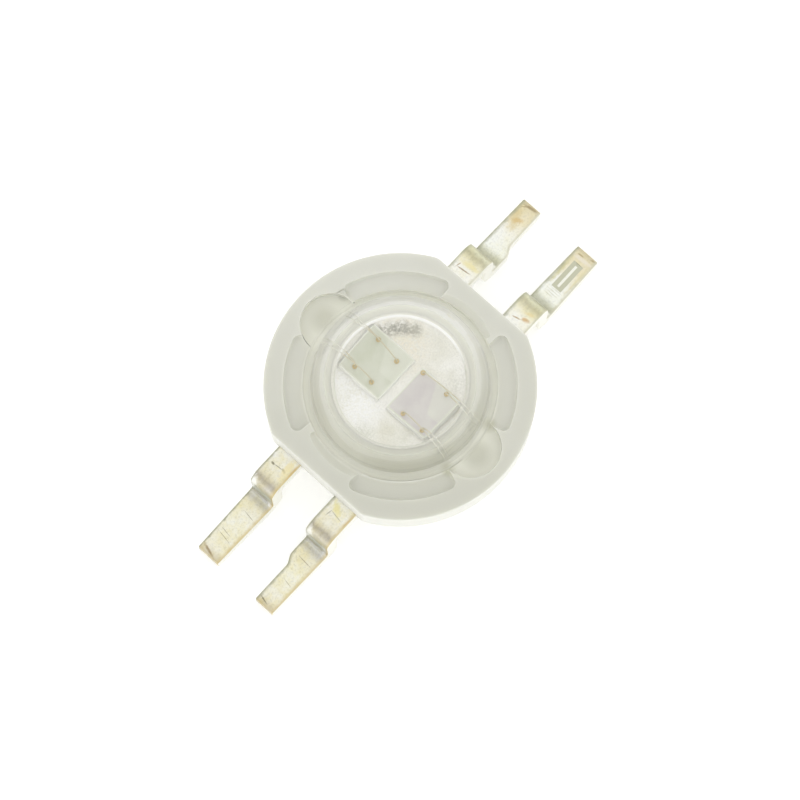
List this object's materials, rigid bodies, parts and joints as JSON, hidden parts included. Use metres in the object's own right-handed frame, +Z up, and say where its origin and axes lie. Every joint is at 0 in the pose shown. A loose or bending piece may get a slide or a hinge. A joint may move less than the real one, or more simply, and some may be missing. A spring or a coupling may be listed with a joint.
{
  "type": "surface-mount power led emitter",
  "caption": "Moulded power LED with gull-wing leads, a heat slug with a chip cup below, and a clear domed lens held by two ears.",
  "frame": {"origin": "centre of the heat slug's underside, in the plane that the feet of the leads stand on", "axes": "+X along the leads, +Y along the row of chips and the lens's ears, +Z up out of the lens"},
  "size_m": [0.0144, 0.008, 0.0052],
  "materials": {
    "moulded_white_plastic": "satin",
    "silver_plated_copper": "bright silver plate",
    "tarnished_silver_plate": "tarnished silver plate",
    "led_chip": "polished",
    "silver_epoxy": "matt",
    "bond_gold": "bright",
    "clear_lens": "clear",
    "clear_silicone": "clear"
  },
  "bodies": {
    "root": {"housing": "moulded_white_plastic", "heat_slug": "silver_plated_copper", "lead_1": "tarnished_silver_plate", "lead_2": "tarnished_silver_plate", "lead_3": "tarnished_silver_plate", "lead_4": "tarnished_silver_plate", "die_1": "led_chip", "die_2": "led_chip", "die_attach_1": "silver_epoxy", "die_attach_2": "silver_epoxy", "bond_wire_1": "bond_gold", "bond_wire_2": "bond_gold", "bond_wire_3": "bond_gold", "bond_wire_4": "bond_gold", "bond_wire_5": "bond_gold", "bond_wire_6": "bond_gold", "bond_wire_7": "bond_gold", "bond_wire_8": "bond_gold", "lens": "clear_lens", "encapsulant": "clear_silicone"}
  },
  "joints": []
}
